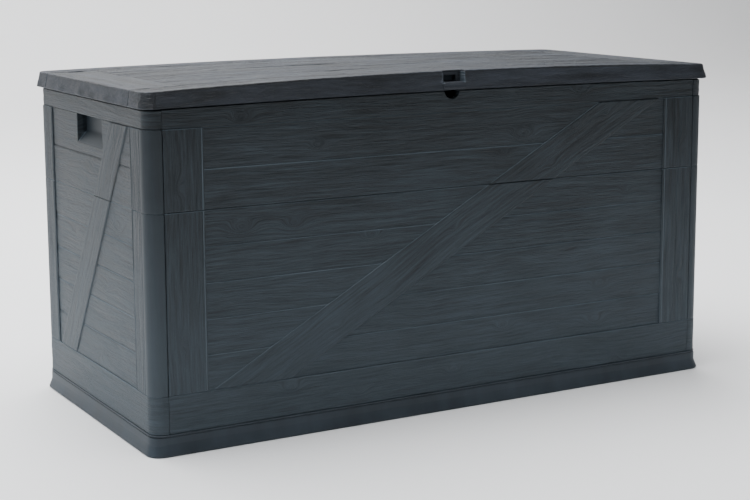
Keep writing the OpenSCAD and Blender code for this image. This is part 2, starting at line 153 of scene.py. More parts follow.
def lay_floor():
    """The floor and the wall behind, as one sheet with a round bend."""
    half_width, front, back, height, bend, bend_cells = 16.0, -9.0, 7.5, 8.0, 2.4, 12
    profile = [(front, 0.0), (back - bend, 0.0)]
    for k in range(1, bend_cells + 1):
        turn = k / bend_cells * math.pi / 2
        profile.append((back - bend + bend * math.sin(turn), bend - bend * math.cos(turn)))
    profile.append((back, height))
    points = [(x, y, z) for y, z in profile for x in (-half_width, half_width)]
    faces = [(2 * i, 2 * i + 1, 2 * i + 3, 2 * i + 2) for i in range(len(profile) - 1)]
    mesh = bpy.data.meshes.new("floor")
    mesh.from_pydata(points, [], faces)
    mesh.shade_smooth()
    floor = bpy.data.objects.new("floor", mesh)
    bpy.context.scene.collection.objects.link(floor)
    net = Net("studio_floor")
    where = net.node("ShaderNodeTexCoord", {}, {})("Object")
    cloud = net.noise(where, 0.6, 2.0)
    colour = net.mix(cloud, paint("#f4f4f5"), paint("#fafafa"))
    mesh.materials.append(net.finish(colour, 0.9, cloud, 0.001, 0.1))


lay_floor()


def hang_light(name, at, aim, width, height, power, tint=(1, 1, 1)):
    """A flat light panel that faces the place it aims at."""
    data = bpy.data.lights.new(name, "AREA")
    data.shape, data.size, data.size_y = "RECTANGLE", width, height
    data.energy, data.color = power, tint
    light = bpy.data.objects.new(name, data)
    bpy.context.scene.collection.objects.link(light)
    light.location = at
    light.rotation_mode = "QUATERNION"
    light.rotation_quaternion = (Vector(aim) - Vector(at)).to_track_quat("-Z", "Y")


hang_light("overhead_panel", (-0.4, 0.9, 3.6), (0, 0.7, 0), 4.4, 3.6, 380, (0.98, 0.99, 1))
hang_light("left_panel", (-4.4, 0.2, 1.7), (-0.5, 0, 0.25), 2.4, 2.4, 40, (0.72, 0.86, 1))
hang_light("wall_panel", (0, 4.4, 5.2), (0, 7.5, 1.6), 9, 2, 420)
hang_light("front_panel_light", (-1.6, -4.8, 2.2), (0, -0.2, 0.3), 3.0, 2.0, 10, (0.95, 0.98, 1))

world = bpy.data.worlds.new("studio")
world.use_nodes = True
world.node_tree.nodes["Background"].inputs["Color"].default_value = (0.97, 0.98, 1, 1)
world.node_tree.nodes["Background"].inputs["Strength"].default_value = 0.3
bpy.context.scene.world = world

# ---------------------------------------------------------------- front wall
# Two injection mouldings, one above the other, in dark grey polypropylene with a
# moulded timber look: plain boards, an upright stile at each end and half of a long
# leaning brace on each. Ribs stiffen the back, and screws through the corners hold it.

HALF_W, HALF_D = 592.0, 272.0
SEAM_X, SEAM_GAP, STILE_W = 562.0, 0.3, 73.0
BASE_Z, RAIL_Z, JOINT_Z, BAND_Z, WALL_TOP = 38.0, 104.0, 416.0, 555.2, 596.0
RELIEF, SKIN_BACK, WALL_T, RIB = 2.0, 6.0, 20.0, 3.0
LOWER_GROOVES, UPPER_GROOVES = (166.4, 228.8, 291.2, 353.6), (485.6,)
RIM_Z, RIM_RISE, REBATE, REBATE_BELOW = 590.0, 5.0, 3.6, 3.4
SEAT_HALF, SEAT_Z, SEAT_D = 39.2, 527.0, 6.3
NOTCH_R, NOTCH_Z = 16.0, 595.0


def lattice(u, v, seed):
    """Smooth noise from -1 to 1, one bump to each unit cell."""
    iu, iv = np.floor(u), np.floor(v)
    fu, fv = u - iu, v - iv
    fu, fv = fu * fu * (3 - 2 * fu), fv * fv * (3 - 2 * fv)

    def corner(a, b):
        return 2 * np.modf(np.abs(np.sin(a * 127.1 + b * 311.7 + seed * 74.7) * 43758.5453))[0] - 1

    near = corner(iu, iv) * (1 - fu) + corner(iu + 1, iv) * fu
    far = corner(iu, iv + 1) * (1 - fu) + corner(iu + 1, iv + 1) * fu
    return near * (1 - fv) + far * fv


def timber(along, across, seed, knots=()):
    """Where each point lies across the run of the grain, in mm, bent round the knots."""
    flow = across + 7 * lattice(along / 230, across / 60, seed)
    flow = flow + 2 * lattice(along / 60, across / 24, seed + 3)
    for a, c, size, lift in knots:
        flow = flow + lift * np.exp(-((along - a) / (2.0 * size)) ** 2 - ((across - c) / size) ** 2)
    return flow


def ridges(flow, along, seed):
    """Height of moulded grain, about -1 to 0.8: fine ribs and some deep open lines."""
    fine = lattice(flow / 4.2, along / 110, seed + 11)
    broad = lattice(flow / 10, along / 240, seed + 17)
    line = np.clip(1 - np.abs(broad) / 0.24, 0, 1)
    line = line * np.clip(0.6 + lattice(flow / 30, along / 90, seed + 5), 0, 1)
    return 0.5 * fine + 0.3 * broad - 1.1 * line * line


def steps(start, end, size, at=()):
    """Places from start to end, close together at both ends and about each place in at."""
    close = np.array([0.0, 0.5, 1.1, 1.9, 3.0])
    count = max(2, int(round((end - start - 6) / size)) + 1)
    places = [start + close, end - close, np.linspace(start + 3, end - 3, count)]
    for middle in at:
        places.append(middle + np.array([-3.0, -1.9, -1.0, 0, 1.0, 1.9, 3.0]))
    places = np.unique(np.round(np.concatenate(places), 3))
    places = places[(places >= start) & (places <= end)]
    keep = np.append(True, np.diff(places) > 0.35)
    keep[-1] = True
    return places[keep]


def eased(place, start, end, depth, reach=2.0):
    """How far a plate's face falls away at its two edges."""
    inside = np.clip(np.minimum(place - start, end - place) / reach, 0, 1)
    return depth * (1 - inside) ** 2


def lines(place, at, depth, half=2.0, above=None):
    """Depth of V grooves at the given places, with an upper flank of its own if need be."""
    cut = np.zeros_like(place)
    for middle in at:
        reach = half if above is None else np.where(place > middle, above, half)
        cut = np.maximum(cut, depth * np.clip(1 - np.abs(place - middle) / reach, 0, 1))
    return cut


def seat(s, z, at):
    """How far a wall is set back where a hinge half screws on."""
    sunk = np.zeros_like(z)
    for middle in at:
        beside = np.clip(SEAT_HALF - np.abs(s - middle), 0, 1)
        sunk = np.maximum(sunk, SEAT_D * beside * np.clip(z - SEAT_Z, 0, 1))
    return sunk


def grid_faces(index):
    """The four-sided faces of a grid of numbered points."""
    corners = [index[:-1, :-1], index[:-1, 1:], index[1:, 1:], index[1:, :-1]]
    return np.stack(corners, axis=-1).reshape(-1, 4)


class Moulding:
    """Gathers the closed islands of one moulding, in mm, and makes pieces of it."""

    def __init__(self):
        self.points, self.quads, self.grain, self.relief, self.count = [], [], [], [], 0

    def shell(self, outer, inner, faces, border, grain, relief):
        """Two copies of one sheet of points, closed along their border."""
        n = len(outer)
        rim = np.stack([border, np.roll(border, -1), np.roll(border, -1) + n, border + n], axis=1)
        self.points += [outer, inner]
        self.quads.append(self.count + np.concatenate([faces, faces[:, ::-1] + n, rim]))
        self.grain += [grain, grain]
        self.relief += [np.broadcast_to(relief, (n,)), np.zeros(n)]
        self.count += 2 * n

    def slab(self, outer, inner, grain, relief):
        """A shell on a grid of points, rows by columns."""
        rows, cols = outer.shape[:2]
        index = np.arange(rows * cols).reshape(rows, cols)
        border = np.concatenate([index[0, :-1], index[:-1, -1], index[-1, :0:-1], index[:0:-1, 0]])
        relief = np.broadcast_to(relief, (rows, cols)).reshape(-1)
        self.shell(outer.reshape(-1, 3), inner.reshape(-1, 3), grid_faces(index), border[::-1],
                   grain.reshape(-1, 3), relief)

    def block(self, place, s, z, out):
        """A plain moulded bar behind a wall: its span, height and depth, with softened edges."""
        cut = 0.4
        s_at = np.array([s[0], s[0] + cut, s[1] - cut, s[1]])
        z_at = np.array([z[0], z[0] + cut, z[1] - cut, z[1]])
        S, Z = np.meshgrid(s_at, z_at)
        edge = np.ones((4, 4)) * cut
        edge[1:3, 1:3] = 0
        face, back = max(out) - edge, min(out) + edge
        self.slab(place(S, Z, face), place(S, Z, back), np.stack([S, Z, 0 * S], axis=-1), 0.0)

    def make(self, name, body, slot, material, nodes, quarter_turns=0):
        """Makes the object, stands it in for its CAD nodes and lets it ride on a body."""
        points = np.concatenate(self.points) / 1000
        mesh = bpy.data.meshes.new(name)
        mesh.from_pydata(points.tolist(), [], np.concatenate(self.quads).tolist())
        mesh.attributes.new("grain", "FLOAT_VECTOR", "POINT").data.foreach_set(
            "vector", np.concatenate(self.grain).astype(np.float32).ravel())
        mesh.attributes.new("relief", "FLOAT", "POINT").data.foreach_set(
            "value", np.concatenate(self.relief).astype(np.float32).ravel())
        mesh.shade_smooth()
        mesh.set_sharp_from_angle(angle=math.radians(38))
        mesh.transform(Matrix.Rotation(quarter_turns * math.pi / 2, 4, "Z"))
        mesh.materials.append(material)
        piece = bpy.data.objects.new(name, mesh)
        bpy.context.scene.collection.objects.link(piece)
        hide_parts(*nodes)
        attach(piece, body)


def on_front(s, z, out):
    """The front wall's face plane: s to the right, z up, out towards the viewer."""
    return np.stack(np.broadcast_arrays(s, -HALF_D - out, z), axis=-1).astype(float)


def plate(piece, place, s, z, plane, seed, depth, upright=False, knots=(), cuts=(),
          sides=(0.0, 0.0), scores=(), seats=(), lip=1e3, smooth_from=1e3):
    """One grained plate of a wall, between plane and the back of the skin.

    Cuts are the joints between its boards, at heights, and scores upright V grooves.
    Sides is how far its left and right, and its bottom and top edges fall away, seats
    where hinges screw on, lip the height from which the lid's rim needs room, and
    smooth_from the distance from the middle where the grain dies out."""
    S, Z = np.meshgrid(s, z)
    boards = seed + np.searchsorted(np.array(cuts), Z)
    along, across = (Z, S) if upright else (S, Z)
    flow = timber(along, across, boards, knots)
    depth = depth * np.clip(1 - (np.abs(S) - smooth_from) / 4, 0.14, 1)
    face = plane + depth * ridges(flow, along, boards)
    face -= eased(S, s[0], s[-1], sides[0], 1.3) + eased(Z, z[0], z[-1], sides[1])
    face -= lines(Z, cuts, 1.2, 3.0, 1.0) + lines(Z, cuts, 0.4, 8.0) + lines(S, scores, 0.9, 1.9)
    face -= seat(S, Z, seats) + REBATE * np.clip((Z - lip) / 0.8, 0, 1)
    rear = -SKIN_BACK - 6 * (seat(S, Z, seats) > 0) - 4 * (Z > lip - 6)
    # painted highlights: paler colour on the plates' top edges, on the lower flank of each board joint and
    # on the left-lit flank of each upright groove
    highlight_mask = 0.7 * ((z[-1] - Z < 1.2) & (sides[1] > 0))
    for middle in cuts:
        highlight_mask = np.maximum(highlight_mask, (middle - Z > 0.8) & (middle - Z < 2.2))
    for middle in scores:
        highlight_mask = np.maximum(highlight_mask, (S - middle > 0.4) & (S - middle < 2.1))
    grain = np.stack([along, flow, boards * 1.0], axis=-1)
    piece.slab(place(S, Z, face), place(S, Z, rear), grain, depth + 2 * highlight_mask)


def knots_for(seed, start, end, levels, per_board=1.2):
    """Knots for a row of boards, in the same places every time."""
    spots = np.random.default_rng(seed)
    found = []
    for low_edge, high_edge in zip(levels[:-1], levels[1:]):
        for _ in range(spots.poisson(per_board)):
            radius = spots.uniform(6, 13)
            along, across = spots.uniform(start, end), spots.uniform(low_edge + 12, high_edge - 12)
            lift = spots.choice([-1, 1]) * radius * spots.uniform(0.9, 1.8)
            found.append((along, across, radius, lift))
    return found


def brace(piece, place, foot, reach, width, z, seed, depth, rings=(), seats=()):
    """A leaning board, proud of the others by the relief, with its long edges bevelled.

    Foot is its left edge on the bottom rail and reach its run to the band. Rings are
    more knots, as places on the wall, and seats are where hinges screw on."""
    slope = reach / (BAND_Z - RAIL_Z)
    lean = math.atan(1 / slope)
    w = steps(0, width, 1.6 if seats else 3.6)
    W, Z = np.meshgrid(w, z)
    S = foot + (Z - RAIL_Z) * slope + W
    along = S * math.cos(lean) + Z * math.sin(lean)
    across = Z * math.cos(lean) - S * math.sin(lean)
    middle = across.mean()
    knots = [(along.min() + k * (along.max() - along.min()), middle + shift, 7, 9)
             for k, shift in ((0.7, 6), (0.33, -9))]
    for s, up, size, lift in rings:
        knots.append((s * math.cos(lean) + up * math.sin(lean),
                      up * math.cos(lean) - s * math.sin(lean), size, lift))
    flow = timber(along, across, seed, knots)
    face = depth * ridges(flow, along, seed) - eased(W, 0, width, RELIEF + 0.6, 3.4 / math.sin(lean))
    face -= eased(Z, z[0], z[-1], 1.2)
    sunk = seat(S, Z, seats)
    face = np.where(sunk > 0, -RELIEF - sunk, face)
    grain = np.stack([along, flow, np.full_like(S, seed)], axis=-1)
    rear = -SKIN_BACK + 0.5 - 6 * (sunk > 0)
    # the brace's left long edge gets 2 more relief, which the material shows as a painted highlight
    piece.slab(place(S, Z, face), place(S, Z, rear), grain, depth + 2 * ((W < 2.6) & (sunk == 0)))


def timber_look(name, dark, light, streak, gloss, depth, coarse=1.0):
    """Moulded plastic with a timber grain. Its run comes with the mesh, in mm.

    The relief that comes with it is about 2 more where an edge gets a painted highlight, a paler
    colour. Low places are painted paler too, in place of the light that a pale floor would throw up."""
    net = Net(name, Specular_IOR_Level=0.3)
    grain = net.node("ShaderNodeAttribute", dict(attribute_name="grain"), {})("Vector")
    relief = net.node("ShaderNodeAttribute", dict(attribute_name="relief"), {})("Fac")
    parts = net.node("ShaderNodeSeparateXYZ", {}, {"Vector": grain})
    along, flow, seed = parts("X"), parts("Y"), parts("Z")
    where = net.node("ShaderNodeTexCoord", {}, {})("Object")
    height_up = net.node("ShaderNodeSeparateXYZ", {}, {"Vector": where})("Z")
    fibre = net.noise(net.point(along * 0.014, flow * (0.30 / coarse), seed * 5.3), 1.0, 4.0, 0.62)
    wide = net.noise(net.point(along * 0.0045, flow * (0.11 / coarse), seed * 3.1), 1.0, 3.0, 0.6)
    pores = net.noise(net.point(along * 0.09, flow * (0.8 / coarse), seed * 2.7), 1.0, 2.0, 0.5)
    stain = net.noise(where, 5.0, 4.0, 0.6)
    speck = net.noise(where, 900.0, 2.0, 0.5)
    amount = relief.between(0.0, 0.25)
    tone = (fibre - 0.5) * (1.25 * amount) + (wide - 0.5) * (streak * amount) + (stain - 0.5) * 0.5
    low_down = 0.17 + height_up.between(0.62, 0.0) * 0.5
    # painted highlight: where the relief is over about 1 the colour turns paler, towards #59656e
    painted_highlight = relief.between(1.0, 2.4) * (0.15 + stain * 0.9)
    colour = net.mix(tone.math("ADD", low_down, clamp=True), paint(dark), paint(light))
    colour = net.mix(painted_highlight, colour, paint("#59656e"))
    rough = gloss + (fibre - 0.5) * (0.3 * amount) + (stain - 0.5) * 0.16 + (speck - 0.5) * 0.08
    height = (fibre * 0.7 + pores * 0.5) * amount + speck * 0.05
    return net.finish(colour, rough, height, depth, 1.0)


wall_look = timber_look("anthracite_wall", "#11171b", "#3e4951", 0.5, 0.52, 0.0022)


def top_band(piece, s, hinges):
    """The band at the top of a long wall, set back under the lid's rim.

    It has a half-round notch for the padlock, or else seats for hinges."""
    plain_rows = 21
    dip = np.sqrt(np.clip(NOTCH_R ** 2 - s ** 2, 0, None))
    crest = np.where((np.abs(s) < NOTCH_R) & (len(hinges) == 0), NOTCH_Z - dip, WALL_TOP)
    rim = RIM_Z + RIM_RISE * (1 - (s / HALF_W) ** 2)
    under_rim = np.minimum(rim - REBATE_BELOW, crest - 1.5)
    rows = [BAND_Z + 0.2 + share * (under_rim - BAND_Z - 0.2) for share in np.linspace(0, 1, plain_rows)]
    rows += [under_rim + share * (crest - under_rim) for share in (0.12, 0.5, 1.0)]
    row = np.arange(len(rows))[:, None]
    Z = np.stack(rows)
    S = np.broadcast_to(s, Z.shape)
    flow = timber(S, Z, 60, knots_for(9, -520, 520, (BAND_Z, WALL_TOP)) + [(-418, 568, 9, 24)])
    sunk = seat(S, Z, hinges)
    face = -RELIEF + 0.5 * ridges(flow, S, 60) - eased(Z, BAND_Z, 2 * crest, 0.8)
    rear = -SKIN_BACK - 6 * (sunk > 0) - 4 * (row >= plain_rows - 4)
    piece.slab(on_front(S, Z, face - sunk - REBATE * (row >= plain_rows)), on_front(S, Z, rear),
               np.stack([S, flow, 60 + 0 * S], axis=-1), 0.5)


def front_wall(level, hinges=()):
    """One of the two mouldings of a long wall, as the front one stands.

    With hinges it is a rear one: seats for their screwed halves, and no lock notch."""
    piece = Moulding()
    left, right = -SEAM_X + SEAM_GAP, SEAM_X - SEAM_GAP
    inner = SEAM_X - STILE_W
    foot, top = (BASE_Z, JOINT_Z) if level == "lower" else (JOINT_Z, WALL_TOP)
    field = (RAIL_Z, JOINT_Z - 0.5) if level == "lower" else (JOINT_Z + 0.5, BAND_Z)
    grooves = LOWER_GROOVES if level == "lower" else UPPER_GROOVES
    first = 1 if level == "lower" else 6
    seats = hinges if level == "upper" else ()
    seat_edges = [middle + side * (SEAT_HALF - 0.5) for middle in seats for side in (-1, 1)]
    z = steps(*field, 2.4, (*grooves, SEAT_Z + 0.5) if seats else grooves)
    knots = knots_for(40 + first, -470, 470, (field[0], *grooves, field[1]), 0.5)
    knots += [(-421, 380, 12, 30), (-167, 345, 8, 22), (-273, 512, 7, 19), (159, 505, 11, 28),
              (340, 200, 9, 22)]
    plate(piece, on_front, steps(-inner - 1, inner + 1, 6.0, seat_edges), z, -RELIEF, first, 0.5,
          knots=knots, cuts=grooves, sides=(0.0, 0.9), seats=seats)
    for side in (-1, 1):
        ends = (left, -inner) if side < 0 else (inner, right)
        ring = (field[0] + 0.3 * (field[1] - field[0]), sum(ends) / 2 + 9 * side, 8, 11)
        plate(piece, on_front, steps(*ends, 1.3), steps(*field, 6.5), 0.0, 20 + first + side, 0.9,
              upright=True, knots=[ring], sides=(1.0, 0.8), scores=(side * (inner + 4),))
    brace(piece, on_front, -481, 812, 150, steps(*field, 1.6 if seats else 3.0), 30 + first, 0.5,
          [(277, 514, 7, 20)], seats)
    if level == "lower":
        knots = knots_for(7, -500, 500, (BASE_Z, RAIL_Z)) + [(-333, 88, 9, 24)]
        plate(piece, on_front, steps(left - 0.2, right + 0.2, 6.0), steps(BASE_Z, RAIL_Z - 0.2, 1.8),
              0.0, 50, 0.5, knots=knots, sides=(0.3, 1.3))
    else:
        top_band(piece, steps(left - 0.2, right + 0.2, 6.0, seat_edges or (-16.3, -8, 0, 8, 16.3)), hinges)
        if hinges:
            # a thick pad behind each seat takes the screws
            for middle in hinges:
                piece.block(on_front, (middle - 44, middle + 44), (518, 595.5), (-11.5, -WALL_T))
        else:
            # two cheeks hold the lock bar, over a block that stands under the notch
            for span, rise in (((-31, -16.5), 604), ((16.5, 31), 604), ((-17, 17), 579)):
                piece.block(on_front, span, (566, rise), (-5, -WALL_T))
    for x in np.linspace(left + 1.5, right - 1.5, 12):
        piece.block(on_front, (x - RIB / 2, x + RIB / 2), (foot + 1, top - 1), (-SKIN_BACK + 0.6, -WALL_T))
    for edge in (foot + RIB / 2, top - RIB / 2):
        notched = edge > WALL_TOP - 5 and not hinges
        for span in ((left, -33), (33, right)) if notched else ((left, right),):
            piece.block(on_front, span, (edge - RIB / 2, edge + RIB / 2), (-SKIN_BACK - 2.5, -WALL_T))
    return piece


front_lower, front_upper = front_wall("lower"), front_wall("upper")
front_lower.make("front_wall_lower", "box", "wall_plastic", wall_look, ["front_panel_lower"])
front_upper.make("front_wall_upper", "box", "wall_plastic", wall_look, ["front_panel_upper"])

# ---------------------------------------------------------------- rear wall
# The lower moulding is the front one turned half round. The upper one has three seats
# where the hinge halves screw on in place of the lock notch.

HINGES_X = (-400.0, 0.0, 400.0)
rear_upper = front_wall("upper", HINGES_X)

front_lower.make("rear_wall_lower", "box", "wall_plastic", wall_look, ["rear_panel_lower"], 2)
rear_upper.make("rear_wall_upper", "box", "wall_plastic", wall_look, ["rear_panel_upper"], 2)

# ---------------------------------------------------------------- end walls
# Each end is two mouldings that carry the rounded corner posts round on to the long
# walls. The upper one has a hand pocket with a sloping floor, open at the front and up
# behind its lip.

CORNER_R, POST_IN = 25.0, 199.0
STRAIGHT, ARC = HALF_D - CORNER_R, CORNER_R * math.pi / 2
ROUND = STRAIGHT + ARC + HALF_W - CORNER_R - SEAM_X - SEAM_GAP
POCKET_HALF, POCKET_Z, POCKET_D, POCKET_TOP = 64.0, 505.2, 20.0, 568.0


def on_left(s, z, out):
    """The left end's face, with s along it from rear to front and round both corners."""
    s, z, out = np.broadcast_arrays(s, z, out)
    side, far = np.sign(s), np.abs(s)
    turn = np.clip((far - STRAIGHT) / CORNER_R, 0, math.pi / 2)
    x = -HALF_W + CORNER_R - np.cos(turn) * (CORNER_R + out) + np.clip(far - STRAIGHT - ARC, 0, None)
    y = np.where(far < STRAIGHT, far, STRAIGHT + np.sin(turn) * (CORNER_R + out))
    return np.stack([x, -side * y, z], axis=-1).astype(float)


def wrap_steps(size):
    """Places right round an end wall, closer on its corners."""
    corner = np.arange(STRAIGHT, STRAIGHT + ARC, 2.4)
    past_it = steps(STRAIGHT + ARC, ROUND + 0.2, 2.0)
    half = np.unique(np.round(np.concatenate([np.arange(0, STRAIGHT, size), corner, past_it]), 3))
    half = half[np.append(True, np.diff(half) > 0.3)]
    return np.concatenate([-half[:0:-1], half])


def end_wall(level):
    """One of the two mouldings of an end, as the left one stands."""
    piece = Moulding()
    foot, top = (BASE_Z, JOINT_Z) if level == "lower" else (JOINT_Z, WALL_TOP)
    field = (RAIL_Z, JOINT_Z - 0.15) if level == "lower" else (JOINT_Z + 0.15, BAND_Z)
    grooves = LOWER_GROOVES if level == "lower" else UPPER_GROOVES
    first = 101 if level == "lower" else 106
    knots = knots_for(first, -190, 190, (field[0], *grooves, field[1]), 0.9)
    if level == "lower":
        plate(piece, on_left, steps(-POST_IN - 1, POST_IN + 1, 5.0), steps(*field, 1.9, grooves),
              -RELIEF, first, 0.65, knots=knots, cuts=grooves, sides=(0.0, 0.9))
    else:
        pocketed_field(piece, first, knots)
    near = np.concatenate([steps(POST_IN, STRAIGHT, 1.5, (POST_IN + 4,)),
                           np.arange(STRAIGHT + 2, STRAIGHT + ARC, 2.4), steps(STRAIGHT + ARC, ROUND, 2.0)])
    near = near[np.append(True, np.diff(near) > 0.3)]
    for side in (-1, 1):
        plate(piece, on_left, near if side > 0 else -near[::-1], steps(*field, 9.0), 0.0,
              120 + first + side, 0.4, upright=True, sides=(1.0, 0.8), scores=(side * (POST_IN + 4),),
              smooth_from=STRAIGHT - 8)
    brace(piece, on_left, -190, 294, 86, steps(*field, 2.6), 130 + first, 0.5)
    if level == "lower":
        plate(piece, on_left, wrap_steps(5.0), steps(BASE_Z, RAIL_Z - 0.2, 1.8), 0.0, 150, 0.55,
              knots=knots_for(17, -180, 180, (BASE_Z, RAIL_Z)), sides=(0.3, 1.3))
    else:
        lip = RIM_Z - REBATE_BELOW + 0.2
        plate(piece, on_left, wrap_steps(5.0), steps(BAND_Z + 0.2, WALL_TOP, 1.8, (lip + 0.4,)),
              -RELIEF + 0.7, 160, 0.6, knots=knots_for(19, -180, 180, (BAND_Z, WALL_TOP)),
              sides=(0.0, 0.8), lip=lip)
        piece.block(on_left, (-POCKET_HALF - 2, POCKET_HALF + 2), (POCKET_TOP - 1, POCKET_TOP + 2),
                    (-RELIEF - 3.6, -POCKET_D - 3))
        for side in (-1, 1):
            span = sorted((side * (POCKET_HALF - 0.2), side * (POCKET_HALF + 2.8)))
            piece.block(on_left, span, (BAND_Z - 1, POCKET_TOP + 1), (-RELIEF - 3.6, -POCKET_D - 3))
    rib_out = (-SKIN_BACK + 0.6, -WALL_T)
    for y in (-ROUND + 2.5, -163.2, -54.4, 54.4, 163.2, ROUND - 2.5):
        low_end = foot + 1
        if level == "upper" and abs(y) < POCKET_HALF:
            piece.block(on_left, (y - RIB / 2, y + RIB / 2), (foot + 1, POCKET_Z - 2), rib_out)
            low_end = POCKET_TOP + 1
        piece.block(on_left, (y - RIB / 2, y + RIB / 2), (low_end, top - 1), rib_out)
    for edge in (foot + RIB / 2, top - RIB / 2):
        piece.block(on_left, (-STRAIGHT, STRAIGHT), (edge - RIB / 2, edge + RIB / 2), rib_out)
    return piece


def pocketed_field(piece, first, knots):
    """The boards of an upper end, with the hand pocket sunk into them as one surface."""
    half = POCKET_HALF
    s = np.concatenate([steps(-POST_IN - 1, -half, 5.0), steps(-half + 0.9, half - 0.9, 5.0),
                        steps(half, POST_IN + 1, 5.0)])
    below = steps(JOINT_Z + 0.15, POCKET_Z, 2.4, UPPER_GROOVES)[:-4]
    run = np.linspace(0, 1, 34)[1:]
    S, Z = np.meshgrid(s, np.concatenate([below, POCKET_Z - 3.0 + run * (BAND_Z - POCKET_Z + 3.0)]))
    T = np.broadcast_to(np.concatenate([0 * below, run])[:, None], S.shape)
    boards = first + np.searchsorted(np.array(UPPER_GROOVES), Z)
    flow = timber(S, Z, boards, knots)
    face = -RELIEF + 0.6 * ridges(flow, S, boards) - lines(Z, UPPER_GROOVES, 1.2, 3.0, 1.0)
    face -= lines(Z, UPPER_GROOVES, 0.4, 8)
    face -= eased(Z, Z.min(), Z.max() + 9, 0.5)
    profile = np.array([(-RELIEF, POCKET_Z - 3), (-RELIEF - 0.5, POCKET_Z - 0.8),
                        (-RELIEF - 2.5, POCKET_Z + 1.6), (-POCKET_D + 2.5, POCKET_Z + 16.6),
                        (-POCKET_D + 0.6, POCKET_Z + 19.3), (-POCKET_D, POCKET_Z + 22.5),
                        (-POCKET_D, POCKET_TOP)])
    run_at = np.concatenate([[0], np.cumsum(np.hypot(*np.diff(profile, axis=0).T))])
    run_at /= run_at[-1]
    inside = (np.abs(S) < half - 0.5) & (T > 0)
    pocket_out = np.interp(T, run_at, profile[:, 0])
    pocket_z = np.interp(T, run_at, profile[:, 1])
    edge = 0.9 * np.clip(1 - (np.abs(S) - half) / 1.6, 0, 1) ** 2 * (T > 0.05)
    edge = edge * (np.abs(S) >= half - 0.01)
    out = np.where(inside, pocket_out, face - edge)
    height = np.where(inside, pocket_z, Z)
    back_out = np.where(inside, pocket_out - 3.2, -SKIN_BACK)
    back_z = np.where(inside, pocket_z - 1.0 * (pocket_z < POCKET_Z + 18), Z)
    # painted highlight: a paler strip on the sloping floor beside the pocket's left end wall
    painted_highlight = inside & (S < 5.5 - half) & (T > 0.05) & (T < 0.36)
    depth = np.where(inside, 2.0 * painted_highlight, 0.5)
    piece.slab(on_left(S, height, out), on_left(S, back_z, back_out),
               np.stack([S, flow, boards * 1.0], axis=-1), depth)


end_lower, end_upper = end_wall("lower"), end_wall("upper")
end_lower.make("left_wall_lower", "box", "wall_plastic", wall_look, ["left_end_lower"])
end_upper.make("left_wall_upper", "box", "wall_plastic", wall_look, ["left_end_upper"])
end_lower.make("right_wall_lower", "box", "wall_plastic", wall_look, ["right_end_lower"], 2)
end_upper.make("right_wall_upper", "box", "wall_plastic", wall_look, ["right_end_upper"], 2)

# ---------------------------------------------------------------- base
# A shallow tray moulded in one piece, with a smooth skirt that flares to the ground,
# a rim inside the walls and ribs under its deck. Faint run marks from the mould and
# the weather are all the pattern that it has.


def outline(half_x, half_y, radius, corner_cells, x_at, y_at):
    """A rounded rectangle, anticlockwise from the front left.

    It runs through the same places, from -1 to 1 of each straight side, at any size."""
    turn = np.linspace(0, math.pi / 2, corner_cells + 1)[1:-1]
    long, short = (half_x - radius, half_y), (half_y - radius, half_x)
    sides = []
    for at, (reach, across), (c, s) in ((x_at, long, (1, 0)), (y_at, short, (0, 1)),
                                        (-x_at[::-1], long, (-1, 0)), (-y_at[::-1], short, (0, -1))):
        straight = np.stack([at * reach, np.full_like(at, -across)], axis=-1)
        arc = np.stack([reach + radius * np.sin(turn), -across + radius - radius * np.cos(turn)], axis=-1)
        x, y = np.concatenate([straight, arc]).T
        sides.append(np.stack([x * c - y * s, x * s + y * c], axis=-1))
    return np.concatenate(sides)


def even(count):
    """Places along a side, evenly spread."""
    return np.linspace(-1, 1, count)


def bar(count, x, y, z):
    """The corners and faces of a plain bar, numbered on from count."""
    corners = [(a, b, c) for c in z for b in y for a in x]
    sides = ((0, 2, 3, 1), (4, 5, 7, 6), (0, 1, 5, 4), (2, 6, 7, 3), (0, 4, 6, 2), (1, 3, 7, 5))
    return corners, [[count + k for k in side] for side in sides]


